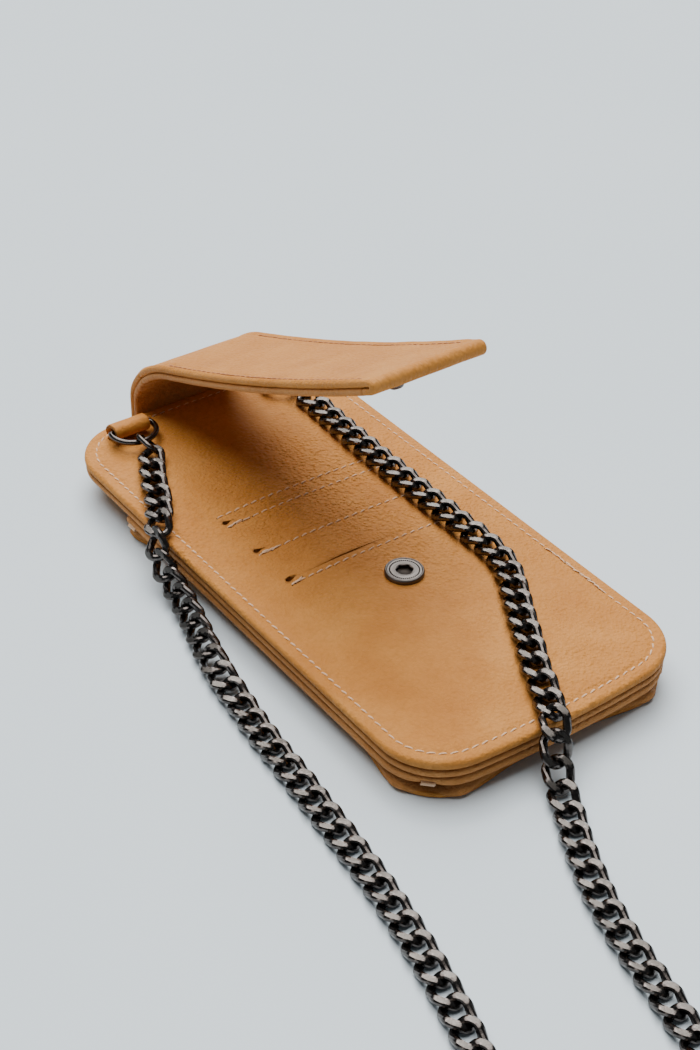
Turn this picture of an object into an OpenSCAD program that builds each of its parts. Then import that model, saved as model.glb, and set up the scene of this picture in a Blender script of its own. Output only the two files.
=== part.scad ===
// Leather phone-and-card wallet with a snap strap flap and a curb-chain shoulder strap.
// X runs across the wallet, +Y towards the flap end, +Z up from the table it lies on.
// The origin is on the table, below the middle of the wallet without its chain.

/* [Body] */
// Width of the leather panels
body_w = 98; // [96:1:106]
// Length of the leather panels, from the bottom edge to the flap edge
body_l = 200; // [190:1:215]
// Radius of the four corners
corner_r = 20; // [16:1:24]
// How far the two end edges bow outwards
end_bow = 3; // [1:0.5:4]
// How much the middle of the front panel stands above its sewn edge
dome = 2; // [1.75:0.25:2.5]
// Height of the sewn face above the table
face_h = 14; // [13:0.5:16]

/* [Leather] */
// Thickness of the front panel
front_t = 2.4; // [2:0.1:2.6]
// Thickness of the rear panel
rear_t = 2.6; // [2:0.1:2.8]
// Thickness of the pocket back
back_t = 1.8; // [1.2:0.1:2.2]
// Depth of the gusset leaves, in from the edge
gusset_w = 8; // [7:0.5:9]
// How far up the sides the gusset and the pocket back reach
mouth_y = 56; // [40:1:66]

/* [Card slots] */
// Length of each card slot
slot_l = 60; // [54:1:62]
// Distance from one slot to the next
slot_step = 17.6; // [15:0.2:18]
// Place of the slot nearest the flap
slot_top_y = 26; // [24:1:32]
// Depth of each card pocket below its slot
card_depth = 78; // [60:1:84]

/* [Flap] */
// Width of the strap flap
flap_w = 40; // [34:1:40]
// Thickness of the two plies together
flap_t = 4.6; // [4:0.2:4.8]
// Length of the nearly straight stretch of the flap
flap_run = 110; // [105:1:115]
// Length of the flap's last straight stretch, to its tip
flap_end = 12; // [8:1:14]

/* [Metal] */
// Diameter of the snap socket
socket_d = 12.2; // [11:0.1:13]
// Height of the snap socket
socket_h = 2.5; // [2:0.1:3]
// Diameter of the ball on the snap stud
stud_d = 4.4; // [4:0.1:4.8]
// Diameter of the D-ring wire
ring_wire = 1.9; // [1.6:0.1:2.2]
// Radius of the D-ring's bow, at the middle of the wire
ring_r = 7.6; // [7:0.1:8]
// Width of the curb chain
chain_w = 9.3; // [8:0.1:10]
// Thickness of the curb chain
chain_t = 3.8; // [3.4:0.1:4]

/* [Thread] */
// Distance from one stitch to the next
stitch_pitch = 3.2; // [2.8:0.1:4]
// Length of one stitch
stitch_l = 2.5; // [2:0.1:2.7]
// Distance of the seam from the edge
stitch_in = 4; // [3.5:0.1:5]

/* [Hidden] */
$fn = 48;

leather = [0.76, 0.57, 0.36];
leather_dark = [0.66, 0.47, 0.28];
lining = [0.62, 0.50, 0.38];
thread = [0.93, 0.80, 0.72];
gunmetal = [0.24, 0.23, 0.24];

slot_n = 3;         // one card pocket node for each
fit = 0.3;          // air between pieces on different bodies
seam = 0.2;         // air between stacked plies
glue = 0.05;        // air between pieces that are stuck or sewn together
big = 400;          // longer than anything here

// The flap strap's outer face is the farthest point in +Y, and the body lies so that
// the two together are centred on the origin.
body_y = -flap_t / 2 - 0.1;
half_w = body_w / 2;
half_l = body_l / 2;
bow_r = (half_w * half_w + end_bow * end_bow) / (2 * end_bow);
corner_x = half_w - corner_r;
corner_y = half_l - bow_r + sqrt(pow(bow_r - corner_r, 2) - corner_x * corner_x);
bow_angle = asin(corner_x / (bow_r - corner_r));
seam_x = half_w - stitch_in;
dome_r = (seam_x * seam_x + dome * dome) / (2 * dome);
dome_end = 30;      // the dome falls to nothing over this length at each end seam
end_y = half_l - stitch_in - dome_end;
end_r = (dome_end * dome_end + dome * dome) / (2 * dome);

card_room = 0.7;    // height left for cards at the sewn edge, below the front panel
rear_top = face_h - card_room - front_t - seam;
rear_z = rear_top - rear_t;
gusset_mid = 4.8;   // height of the fold between the gusset's two leaves
tongue_l = 12;      // how far the flap is sewn in between the two panels
tongue_t = 1.2;
post_d = 5.3;
slot_y = [for (i = [0 : slot_n - 1]) slot_top_y - slot_step * i];
socket_y = -26.9;
top_y = face_h + dome;

tab_x = 29.5;
tab_w = 13;
tab_t = 1.5;
ring_y = 85.1;
ring_z = 18.6;
ring_leg = 2;
link_tilt = 45;

// How far an arc of radius r has fallen at a distance d from its highest point.
function fall(d, r) = r - sqrt(r * r - d * d);

// Height of the front face above the table.
function face_z(x, y) = face_h + dome
    - max(fall(x, dome_r), fall(max(0, abs(y - body_y) - end_y), end_r));

// ---- outlines ----

function top_half(d) = concat(
    [for (i = [0 : 8]) let (a = (90 - bow_angle) * i / 8)
        [corner_x + (corner_r - d) * cos(a), corner_y + (corner_r - d) * sin(a)]],
    [for (i = [1 : 5]) let (a = bow_angle * (1 - i / 3))
        [(bow_r - d) * sin(a), half_l - bow_r + (bow_r - d) * cos(a)]],
    [for (i = [0 : 8]) let (a = (90 - bow_angle) * (1 - i / 8))
        [-corner_x - (corner_r - d) * cos(a), corner_y + (corner_r - d) * sin(a)]]);
function outline_points(d) = concat(top_half(d), [for (p = top_half(d)) -p]);

// The body's outline, d millimetres in from its edge.
module outline(d = 0) {
    translate([0, body_y])
        polygon(outline_points(d));
}

// The part of the outline that the gusset and the pocket back cover.
module pocket_outline(d) {
    intersection() {
        outline(d);
        translate([-big / 2, mouth_y - big])
            square([big, big]);
    }
}

// A U of leather around the two sides and the bottom, from inset d0 in to inset d1.
module gusset_leaf(z0, z1, d0, d1) {
    translate([0, 0, z0])
        linear_extrude(z1 - z0)
            difference() {
                pocket_outline(d0);
                outline(d1);
            }
}

// ---- panels ----

// Everything below the domed face, or below a copy of it that is lowered.
module under_dome(lowered) {
    top = face_h + dome - lowered;
    intersection() {
        translate([0, big, top - dome_r])
            rotate([90, 0, 0])
                cylinder(r = dome_r, h = 2 * big, $fn = 720);
        union() {
            for (sy = [-1, 1])
                translate([-big, body_y + sy * end_y, top - end_r])
                    rotate([0, 90, 0])
                        cylinder(r = end_r, h = 2 * big, $fn = 480);
            translate([-big, body_y - end_y, top - end_r])
                cube([2 * big, 2 * end_y, end_r]);
        }
    }
}

module front_panel() {
    slit = 0.9;
    color(leather)
        difference() {
            intersection() {
                translate([0, 0, rear_top + seam])
                    linear_extrude(face_h + dome)
                        outline();
                under_dome(0);
            }
            intersection() {
                translate([0, 0, rear_top - 1])
                    linear_extrude(big)
                        outline(gusset_w);
                under_dome(front_t);
            }
            for (y = slot_y)
                translate([-slot_l / 2, y - slit / 2, 0])
                    cube([slot_l, slit, big]);
            translate([0, socket_y, 0])
                cylinder(d = post_d + 0.1, h = big);
        }
}

// The rear panel, with a shallow recess at its end for the flap's tongue.
module rear_panel() {
    recess_w = flap_w + 1;
    color(leather_dark)
        difference() {
            translate([0, 0, rear_z])
                linear_extrude(rear_t)
                    outline(0.3);
            translate([-recess_w / 2, half_l + body_y - tongue_l - 1, rear_top - tongue_t - glue])
                cube([recess_w, big, big]);
        }
}

// One ply of lining behind the front panel, hung from its slot.
module card_ply(i) {
    ply = 0.4;
    step = 0.55;
    border = 3;
    above = 8;
    lowest = body_y - half_l + gusset_w + 1;
    low = max(slot_y[i] - card_depth, lowest);
    color(lining)
        translate([-slot_l / 2 - border, low, rear_top + 2 * glue + step * i])
            cube([slot_l + 2 * border, slot_y[i] + above - low, ply]);
}
module card_pocket_1() { card_ply(0); }
module card_pocket_2() { card_ply(1); }
module card_pocket_3() { card_ply(2); }

module gusset_upper() {
    color(leather_dark)
        gusset_leaf(gusset_mid, rear_z - glue, 0.5, gusset_w);
}

// The lower leaf steps inwards as it rises, which is how the gusset folds.
module gusset_lower() {
    fold_in = 2;
    fold_deep = 5;
    half = (back_t + gusset_mid) / 2;
    color(leather_dark) {
        gusset_leaf(back_t, half, fold_in, gusset_w);
        gusset_leaf(half - glue, gusset_mid - fit, fold_deep, gusset_w);
    }
}

module pocket_back() {
    color(leather)
        linear_extrude(back_t)
            pocket_outline(1.2);
}

// ---- thread ----

thread_w = 0.5;
thread_h = 0.3;
above_face = 0.04;

module stitch(angle = 0) {
    rotate(angle)
        translate([-stitch_l / 2, -thread_w / 2, 0])
            cube([stitch_l, thread_w, thread_h]);
}

// A row of stitches from x0 to x1 across the front face.
module cross_row(y, x0, x1) {
    n = floor((x1 - x0) / stitch_pitch);
    for (i = [0 : n])
        let (x = x0 + i * stitch_pitch)
            translate([x, y, face_z(x, y) + above_face])
                stitch();
}

// Height of a stitch: z, or on the domed face if z is below 0.
function stitch_z(x, y, z) = z < 0 ? face_z(x, y) + above_face : z;

// Stitches along one long side, from y0 to y1.
module side_row(x, y0, y1, z) {
    n = floor((y1 - y0) / stitch_pitch);
    for (i = [0 : n])
        let (y = y0 + i * stitch_pitch)
            translate([x, y, stitch_z(x, y, z)])
                stitch(90);
}

// Stitches round the corner in quadrant (sx, sy).
module corner_row(sx, sy, d, z) {
    r = corner_r - d;
    first = 4;
    last = 86 - bow_angle;
    n = floor((last - first) * PI / 180 * r / stitch_pitch);
    for (i = [0 : n])
        let (a = first + (last - first) * i / n,
            x = sx * (corner_x + r * cos(a)), y = body_y + sy * (corner_y + r * sin(a)))
            translate([x, y, stitch_z(x, y, z)])
                stitch(sx * sy * (a + 90));
}

// Stitches along one bowed end.
module end_row(sy, d, z) {
    r = bow_r - d;
    n = floor(bow_angle * PI / 180 * r / stitch_pitch);
    for (i = [-n : n])
        let (a = i * stitch_pitch / r * 180 / PI,
            x = r * sin(a), y = body_y + sy * (half_l - bow_r + r * cos(a)))
            translate([x, y, stitch_z(x, y, z)])
                stitch(-sy * a);
}

module perimeter_stitches() {
    color(thread) {
        for (sx = [-1, 1]) {
            side_row(sx * seam_x, body_y - corner_y, body_y + corner_y, -1);
            for (sy = [-1, 1])
                corner_row(sx, sy, stitch_in, -1);
        }
        for (sy = [-1, 1])
            end_row(sy, stitch_in, -1);
    }
}

module slot_stitches() {
    below = 2.3;
    above = 3.6;
    color(thread) {
        cross_row(slot_y[0] + above, -slot_l / 2, slot_l / 2);
        for (y = slot_y)
            cross_row(y - below, -slot_l / 2, slot_l / 2);
    }
}

// The seam that holds the pocket back to the gusset, on the inside of the back.
module pocket_stitches() {
    inset = 3.4;
    color(thread)
        translate([0, 0, (back_t + gusset_mid) / 2 + above_face]) {
            for (sx = [-1, 1]) {
                side_row(sx * (half_w - inset), body_y - corner_y, mouth_y - 2, 0);
                corner_row(sx, -1, inset, 0);
            }
            end_row(-1, inset, 0);
        }
}

// Small tight wraps of thread where the gusset starts and at its two folded corners.
module bar_tacks() {
    tack_d = 1.2;
    tack_l = 3.4;
    tack_z = gusset_mid + 0.7;
    out = tack_d / 2 - 0.5;
    r = corner_r + out;
    color(thread)
        for (sx = [-1, 1]) {
            translate([sx * (half_w + out), mouth_y - 4, tack_z])
                rotate([90, 0, 0])
                    cylinder(d = tack_d, h = tack_l, center = true);
            translate([sx * (corner_x + r * cos(45)), body_y - corner_y - r * sin(45), tack_z])
                rotate([90, 0, sx * 135])
                    cylinder(d = tack_d, h = tack_l, center = true);
        }
}

// ---- snap ----

module snap_socket() {
    rim = 0.7;
    base_h = 1.2;
    step = 0.4;
    color(gunmetal)
        translate([0, socket_y, top_y])
            difference() {
                union() {
                    cylinder(d = socket_d, h = base_h);
                    cylinder(d = socket_d - 3 * step, h = socket_h - step);
                    rotate_extrude()
                        translate([socket_d / 2 - rim, base_h])
                            circle(r = rim - 0.02);
                    cylinder(d = socket_d - 6 * step, h = socket_h);
                }
                translate([0, 0, -1])
                    cylinder(d = stud_d + 0.8, h = big);
            }
}

// Washer behind the front panel, with the tube that clenches the socket to it.
module socket_post() {
    washer_d = 10;
    washer_t = 0.6;
    bore = 4.2;
    color(gunmetal)
        translate([0, socket_y, top_y - front_t - washer_t])
            difference() {
                union() {
                    cylinder(d = washer_d, h = washer_t - 0.06);
                    cylinder(d = post_d, h = front_t + washer_t);
                }
                translate([0, 0, -1])
                    cylinder(d = bore, h = big);
            }
}

// ---- tabs and rings ----

// A strip of leather that rises out of the face just inside the end seam, and rolls round
// the straight side of the D-ring.
module tab(sx) {
    bore = ring_wire / 2 + 0.15;
    roll_r = bore + tab_t;
    foot_y = ring_y + 6.5;
    foot_z = face_h + 2;
    to_seam = 0.5;      // air between the tab and the thread of the seam
    color(leather)
        intersection() {
            difference() {
                translate([sx * tab_x - tab_w / 2, 0, 0])
                    union() {
                        translate([0, ring_y, ring_z])
                            rotate([0, 90, 0])
                                cylinder(r = roll_r, h = tab_w);
                        rotate([90, 0, 90])
                            linear_extrude(tab_w)
                                polygon([[ring_y, ring_z + roll_r - 0.1],
                                    [ring_y + tab_t, ring_z + roll_r - 0.6],
                                    [foot_y, foot_z], [foot_y, face_h], [ring_y, face_h]]);
                    }
                translate([sx * tab_x - tab_w / 2 - 1, ring_y, ring_z])
                    rotate([0, 90, 0])
                        cylinder(r = bore, h = tab_w + 2);
                under_dome(-glue);
            }
            linear_extrude(big)
                outline(stitch_in + thread_w / 2 + to_seam);
        }
}
module left_tab() { tab(-1); }
module right_tab() { tab(1); }

module d_ring(sx) {
    r = ring_wire / 2;
    color(gunmetal)
        translate([sx * tab_x, ring_y, ring_z]) {
            translate([-ring_r, 0, 0])
                rotate([0, 90, 0])
                    cylinder(r = r, h = 2 * ring_r);
            for (side = [-1, 1]) {
                translate([side * ring_r, 0, 0])
                    sphere(r = r);
                translate([side * ring_r, 0, 0])
                    rotate([90, 0, 0])
                        cylinder(r = r, h = ring_leg);
            }
            translate([0, -ring_leg, 0])
                rotate([0, 0, 180])
                    rotate_extrude(angle = 180)
                        translate([ring_r, 0])
                            circle(r = r);
        }
}
module left_d_ring() { d_ring(-1); }
module right_d_ring() { d_ring(1); }

// The first link of the chain, closed round the bow of the D-ring.
module end_link(sx) {
    wire = 0.95;        // radius of the link's wire
    half = 1.75;        // half of its straight sides
    bend = 3.1;         // radius of its two ends, at the middle of the wire
    slack = 0.35;
    link_y = ring_y - ring_leg - ring_r + 2 * wire + slack - half - bend;
    color(gunmetal)
        translate([sx * tab_x, link_y, ring_z])
            rotate([0, link_tilt, 0]) {
                for (side = [-1, 1])
                    translate([side * bend, half, 0])
                        rotate([90, 0, 0])
                            cylinder(r = wire, h = 2 * half);
                for (turn = [0, 180])
                    rotate([0, 0, turn])
                        translate([0, half, 0])
                            rotate_extrude(angle = 180)
                                translate([bend, 0])
                                    circle(r = wire);
            }
}
module left_end_link() { end_link(-1); }
module right_end_link() { end_link(1); }

// ---- flap ----

// The flap's middle line, seen from the side: [radius, angle] of each bend in turn, then
// where it starts and which way it heads. Y runs along the body and Z up.
riser_z = rear_z + 0.2;
bend_z = 18;
flap_bends = [[10.7, 30], [31.7, 26], [57.7, 13], [-flap_run * 180 / PI / 7, -7]];
strap_y = half_l + body_y + 0.1 + flap_t / 2;

function bend_len(b) = abs(b[0] * b[1] * PI / 180);
function turned(p, b, a) = p + b[0] * [sin(a + b[1]) - sin(a), cos(a) - cos(a + b[1])];
function along(p, s, a) = p + s * [cos(a), sin(a)];

// [point, heading] at distance s along the middle line, counted from the first bend.
function strap_at(s, i = 0, p = [strap_y, bend_z], a = 90) =
    s < 0 || i >= len(flap_bends) ? [along(p, s, a), a]
    : s <= bend_len(flap_bends[i])
        ? let (part = flap_bends[i][1] * s / bend_len(flap_bends[i]))
            [turned(p, [flap_bends[i][0], part], a), a + part]
    : strap_at(s - bend_len(flap_bends[i]), i + 1, turned(p, flap_bends[i], a),
        a + flap_bends[i][1]);

// A point of the strap, off millimetres towards its outer face.
function strap_point(s, off) =
    let (q = strap_at(s)) q[0] + off * [sin(q[1]), -cos(q[1])];

// The strap between two distances and two heights, as an outline seen from the side.
module strap_side(s0, s1, off0, off1) {
    n = ceil((s1 - s0) / 3.5);
    polygon(concat(
        [for (i = [0 : n]) strap_point(s0 + (s1 - s0) * i / n, off0)],
        [for (i = [n : -1 : 0]) strap_point(s0 + (s1 - s0) * i / n, off1)]));
}

// What is drawn in it stands at distance s, with their X along the strap and Y towards its outer face.
module at_strap(s) {
    q = strap_at(s);
    translate(q[0])
        rotate(q[1] - 180)
            mirror([1, 0])
                children();
}

// A side outline made into leather of the flap's width.
module strap_width(w = flap_w) {
    translate([-w / 2, 0, 0])
        rotate([90, 0, 90])
            linear_extrude(w)
                children();
}

half_t = flap_t / 2;
ply_gap = seam / 2;
fold_1 = 0;                 // the fold where the flap leaves the body
fold_2 = 29;                // the fold where the bend becomes the flat panel
strap_len = bend_len(flap_bends[0]) + bend_len(flap_bends[1]) + bend_len(flap_bends[2])
    + flap_run + flap_end;
tip_l = 3;
stud_s = strap_len - 17.6;  // the stud stands this far along the strap

// The room that a fold needs. fold_room is taken out of the piece past it, and fold_back
// out of the piece before it, with an angle for the outer face and one for the inner.
reach = 8;
module fold_room(s, outer_deg, inner_deg) {
    at_strap(s) {
        circle(r = half_t + fit);
        polygon([[0, 0], [-0.01, 0], [-0.01, reach], [reach * tan(outer_deg), reach]]);
        polygon([[0, 0], [-0.01, 0], [-0.01, -reach], [reach * tan(inner_deg), -reach]]);
    }
}
module fold_back(s, outer_deg, inner_deg) {
    at_strap(s) {
        polygon([[0, 0], [0.01, 0], [0.01, reach], [-reach * tan(outer_deg), reach]]);
        polygon([[0, 0], [0.01, 0], [0.01, -reach], [-reach * tan(inner_deg), -reach]]);
    }
}

module flap_root_outer() {
    color(leather) {
        strap_width()
            difference() {
                union() {
                    strap_side(riser_z - bend_z, fold_1, ply_gap, half_t);
                    at_strap(fold_1)
                        circle(r = half_t);
                }
                strap_side(riser_z - bend_z, fold_1, -half_t - 1, ply_gap);
            }
        translate([-flap_w / 2, half_l + body_y - tongue_l, rear_top - tongue_t])
            cube([flap_w, tongue_l + 0.1 + flap_t - 0.4, tongue_t]);
    }
}

module flap_root_inner() {
    color(leather_dark)
        strap_width()
            difference() {
                strap_side(rear_top + seam - bend_z, fold_1, -half_t, -ply_gap);
                at_strap(fold_1)
                    circle(r = half_t + ply_gap);
            }
}

// One ply of the bend between the two folds.
module bend_ply(off0, off1, core) {
    color(core ? leather : leather_dark)
        strap_width() {
            difference() {
                strap_side(fold_1, fold_2, off0, off1);
                fold_room(fold_1, 40, 14);
                fold_back(fold_2, 50, 4);
                if (!core)
                    at_strap(fold_2)
                        circle(r = half_t + ply_gap);
            }
            if (core)
                at_strap(fold_2)
                    circle(r = half_t);
        }
}
module flap_bend_outer() { bend_ply(ply_gap, half_t, true); }
module flap_bend_inner() { bend_ply(-half_t, -ply_gap, false); }

// One ply of the long panel.
module panel_ply(off0, off1) {
    strap_width()
        difference() {
            strap_side(fold_2, strap_len - tip_l, off0, off1);
            fold_room(fold_2, 56, 32);
        }
}

module flap_panel_outer() {
    color(leather)
        panel_ply(ply_gap, half_t);
}

module flap_panel_inner() {
    neck = 3.2;
    color(leather_dark)
        difference() {
            panel_ply(-half_t, -ply_gap);
            stud_frame()
                translate([0, 0, -2 * half_t])
                    cylinder(d = neck, h = 4 * half_t);
        }
}

// The outer ply turned round the end of the flap.
module flap_tip() {
    color(leather)
        strap_width()
            union() {
                strap_side(strap_len - tip_l, strap_len, -half_t, half_t);
                at_strap(strap_len)
                    circle(r = half_t);
            }
}

module flap_stitches() {
    edge = 2.6;
    start = fold_2 + 6;
    n = floor((strap_len - 10 - start) / stitch_pitch);
    color(thread)
        for (i = [0 : n], side = [-1, 1])
            let (s = start + i * stitch_pitch, q = strap_at(s), p = strap_point(s, half_t))
                translate([side * (flap_w / 2 - edge), p[0], p[1] + above_face])
                    rotate([q[1] - 180, 0, 0])
                        rotate([0, 0, 90])
                            stitch();
}

// Stud pieces are drawn pointing down along -Z from the strap's middle line.
module stud_frame() {
    q = strap_at(stud_s);
    translate([0, q[0][0], q[0][1]])
        rotate([q[1] - 180, 0, 0])
            children();
}

module snap_stud() {
    flange_d = 8.4;
    flange_t = 1.1;
    neck_l = 3;
    ball_z = -half_t - 2.7;
    shank_d = 3;
    color(gunmetal)
        stud_frame() {
            translate([0, 0, -half_t - flange_t])
                cylinder(d = flange_d, h = flange_t);
            translate([0, 0, -half_t - neck_l])
                cylinder(d = stud_d - 1, h = neck_l - 1);
            translate([0, 0, ball_z])
                intersection() {
                    sphere(d = stud_d);
                    translate([-stud_d, -stud_d, -stud_d / 4])
                        cube([2 * stud_d, 2 * stud_d, stud_d / 2]);
                }
            translate([0, 0, -half_t - 0.2])
                cylinder(d = shank_d, h = half_t - ply_gap + 0.2);
        }
}

// The rivet head that holds the stud, hidden between the two plies.
module stud_cap() {
    cap_d = 6;
    color(gunmetal)
        stud_frame()
            translate([0, 0, glue - ply_gap])
                cylinder(d = cap_d, h = 2 * (ply_gap - glue));
}

// ---- chain ----

// The two runs of the chain, from the first link on its D-ring to the coil. Each row is
// [x, y, z, roll], and roll turns the flat of the chain about its own line.
left_route = [
    [-32.2, 66.9, 17.5, 0], [-37.8, 56.4, 17.1, 0], [-41.0, 48.5, 16.9, -5],
    [-44.9, 40.9, 16.9, -12], [-49.9, 32.8, 16.6, -28], [-52.6, 29.6, 12.8, -55],
    [-53.4, 25.3, 9.4, -62], [-54.0, 19.0, 7.0, -60], [-55.2, 11.0, 5.6, -52],
    [-57.3, 1.3, 4.8, -45], [-59.8, -8.2, 4.3, -38], [-61.7, -16.8, 3.7, -28],
    [-63.2, -25.8, 2.9, -12], [-64.6, -37.5, 2.2, 0], [-66.3, -49.8, 2.0, 0],
    [-68.4, -72.0, 2.0, 0], [-71.0, -96.0, 2.0, 0], [-73.4, -116.0, 2.0, 0],
    [-77.4, -138.0, 2.0, 0], [-82.6, -160.0, 2.0, 0], [-90.0, -182.0, 2.0, 0],
    [-101.0, -203.0, 2.0, 0], [-103.5, -207.4, 2.0, 0]];
right_route = [
    [30.3, 66.9, 17.6, 0], [30.0, 56.0, 17.4, 0], [29.0, 40.0, 17.8, 0],
    [28.4, 22.0, 17.8, 0], [28.0, 4.0, 17.8, 0], [27.8, -12.0, 17.8, 0],
    [27.9, -25.0, 17.7, 0], [27.5, -35.0, 17.6, 0], [25.4, -44.0, 17.7, 0],
    [19.8, -54.5, 17.9, 0], [13.6, -65.0, 18.1, 0], [8.2, -75.0, 18.0, 0],
    [3.1, -83.8, 17.7, 0], [-0.8, -92.7, 16.9, 0], [-2.9, -97.0, 16.4, 0],
    [-5.2, -101.4, 16.3, 0], [-7.1, -104.9, 15.6, 0], [-8.0, -106.4, 13.6, 0],
    [-8.7, -107.4, 11.0, 0], [-9.5, -109.0, 8.0, 0], [-10.8, -111.7, 5.0, 0],
    [-12.8, -115.4, 3.3, 0], [-14.6, -119.2, 2.5, 0], [-17.4, -125.0, 2.0, 0],
    [-22.4, -134.2, 2.0, 0], [-29.4, -150.4, 2.0, 0], [-34.0, -166.0, 2.0, 0],
    [-38.0, -184.0, 2.0, 0], [-41.0, -198.0, 2.0, 0], [-40.2, -211.0, 2.0, 0]];

// The rest of the chain lies in a round coil, one and a half turns of it.
coil_x = -78;
coil_y = -262;
coil_mid = 48.5;
coil_band = 25;
coil_h = 8.2;

function unit(v) = v / norm(v);
function point(r) = [r[0], r[1], r[2]];
function heading(route, i) = unit(
    point(route[min(i + 1, len(route) - 1)]) - point(route[max(i - 1, 0)]));

// One ring of the tube: the chain's flat eight-sided outline, turned across the route.
function tube_ring(route, i) =
    let (t = heading(route, i), side = unit(cross(t, [0, 0, 1])), up = cross(side, t),
        c = cos(route[i][3]), s = sin(route[i][3]),
        across = side * c + up * s, flat = up * c - side * s,
        w = chain_w / 2, h = chain_t / 2)
    [for (p = [[1, 0.4], [0.62, 1], [-0.62, 1], [-1, 0.4], [-1, -0.4], [-0.62, -1],
        [0.62, -1], [1, -0.4]])
        point(route[i]) + across * p[0] * w + flat * p[1] * h];

module tube(route) {
    n = len(route);
    last = 8 * (n - 1);
    color(gunmetal)
        polyhedron(
            points = [for (i = [0 : n - 1]) each tube_ring(route, i)],
            faces = concat(
                [[for (k = [0 : 7]) k]],
                [[for (k = [7 : -1 : 0]) last + k]],
                [for (i = [0 : n - 2], k = [0 : 7]) let (m = (k + 1) % 8)
                    [8 * i + k, 8 * i + 8 + k, 8 * i + 8 + m]],
                [for (i = [0 : n - 2], k = [0 : 7]) let (m = (k + 1) % 8)
                    [8 * i + k, 8 * i + 8 + m, 8 * i + m]]),
            convexity = 6);
}
module chain_left() { tube(left_route); }
module chain_right() { tube(right_route); }

module chain_coil() {
    color(gunmetal)
        translate([coil_x, coil_y, 0])
            rotate_extrude($fn = 72)
                translate([coil_mid - coil_band / 2, 0])
                    square([coil_band, coil_h]);
}

front_panel();
rear_panel();
card_pocket_1();
card_pocket_2();
card_pocket_3();
gusset_upper();
gusset_lower();
pocket_back();
perimeter_stitches();
slot_stitches();
pocket_stitches();
bar_tacks();
snap_socket();
socket_post();
left_tab();
right_tab();
left_d_ring();
right_d_ring();
left_end_link();
right_end_link();
flap_root_outer();
flap_root_inner();
flap_bend_outer();
flap_bend_inner();
flap_panel_outer();
flap_panel_inner();
flap_tip();
flap_stitches();
snap_stud();
stud_cap();
chain_left();
chain_right();
chain_coil();
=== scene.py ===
"""The looks of the chain wallet: leather, thread, snap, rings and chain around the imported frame.

Sizes are in millimetres, in the frame's own axes, and become metres where a mesh is made.
"""

from math import asin, atan2, copysign, cos, exp, pi, radians, sin, sqrt

import bpy
import numpy as np
from mathutils import Matrix, Vector, noise
from mathutils.geometry import delaunay_2d_cdt


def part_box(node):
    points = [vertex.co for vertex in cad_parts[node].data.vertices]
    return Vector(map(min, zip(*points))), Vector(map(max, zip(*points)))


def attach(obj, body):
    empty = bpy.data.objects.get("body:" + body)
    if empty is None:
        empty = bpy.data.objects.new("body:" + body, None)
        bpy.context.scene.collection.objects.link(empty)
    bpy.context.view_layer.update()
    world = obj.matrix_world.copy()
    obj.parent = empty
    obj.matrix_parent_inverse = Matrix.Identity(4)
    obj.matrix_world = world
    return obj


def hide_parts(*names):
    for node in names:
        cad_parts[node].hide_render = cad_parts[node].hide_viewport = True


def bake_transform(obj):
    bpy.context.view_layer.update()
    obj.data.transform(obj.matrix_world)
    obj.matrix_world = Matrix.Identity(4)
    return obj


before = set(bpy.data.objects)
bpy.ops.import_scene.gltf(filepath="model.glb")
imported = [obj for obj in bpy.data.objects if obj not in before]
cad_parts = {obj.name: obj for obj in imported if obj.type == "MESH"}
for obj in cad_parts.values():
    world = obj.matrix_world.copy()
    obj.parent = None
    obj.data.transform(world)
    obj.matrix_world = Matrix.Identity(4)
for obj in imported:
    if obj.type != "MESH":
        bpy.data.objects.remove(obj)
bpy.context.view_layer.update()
MM = 0.001
RANDOM = np.random.default_rng(7)


def box_mm(node):
    """Lowest and highest corner of a CAD node, in millimetres."""
    low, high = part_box(node)
    return np.array(low) / MM, np.array(high) / MM


# ---- sizes, read from the frame where it has them ----

PANEL_LOW, PANEL_HIGH = box_mm("front_panel")
BODY_Y = (PANEL_LOW[1] + PANEL_HIGH[1]) / 2
HALF_W = (PANEL_HIGH[0] - PANEL_LOW[0]) / 2
HALF_L = (PANEL_HIGH[1] - PANEL_LOW[1]) / 2
CORNER_R = 20
END_BOW = 3
STITCH_IN = 4
STITCH_PITCH = 3.15
DOME = 2
DOME_END = 30
FACE_H = PANEL_HIGH[2] - DOME
FRONT_LOW = PANEL_LOW[2]
REAR_LOW, REAR_HIGH = box_mm("rear_panel")
BACK_T = box_mm("pocket_back")[1][2]
MOUTH_Y = box_mm("pocket_back")[1][1]
BOW_R = (HALF_W**2 + END_BOW**2) / (2 * END_BOW)
CORNER_X = HALF_W - CORNER_R
CORNER_Y = HALF_L - BOW_R + sqrt((BOW_R - CORNER_R) ** 2 - CORNER_X**2)
BOW_ANGLE = asin(CORNER_X / (BOW_R - CORNER_R))
SEAM_X = HALF_W - STITCH_IN

SLOT_Y = (26, 8.4, -9.2)
SLOT_HALF = 30
SLOT_PULL = -8.4
ROW_BELOW = 2.3
ROW_ABOVE = 3.6
SOCKET_LOW, SOCKET_HIGH = box_mm("snap_socket")
SOCKET_Y = (SOCKET_LOW[1] + SOCKET_HIGH[1]) / 2

FLAP_W = 40
FLAP_T = 4.6
FLAP_SEAM = 2.7
FLAP_BENDS = ((10.7, 30), (31.7, 26), (57.7, 13), (-110 * 180 / pi / 7, -7))
FLAP_END = 12
FLAP_START = (100, 18)
STUD_BACK = 17.6

SIDES = ((-1, "left"), (1, "right"))
RING_Y = 85.1
RING_Z = 18.6
RING_R = 7.6
RING_WIRE = 0.95
RING_LEG = 2
TAB_X = 29.5
TAB_W = 13

CHAIN_T = 3.8
LINK_PITCH = 7.2

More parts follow.
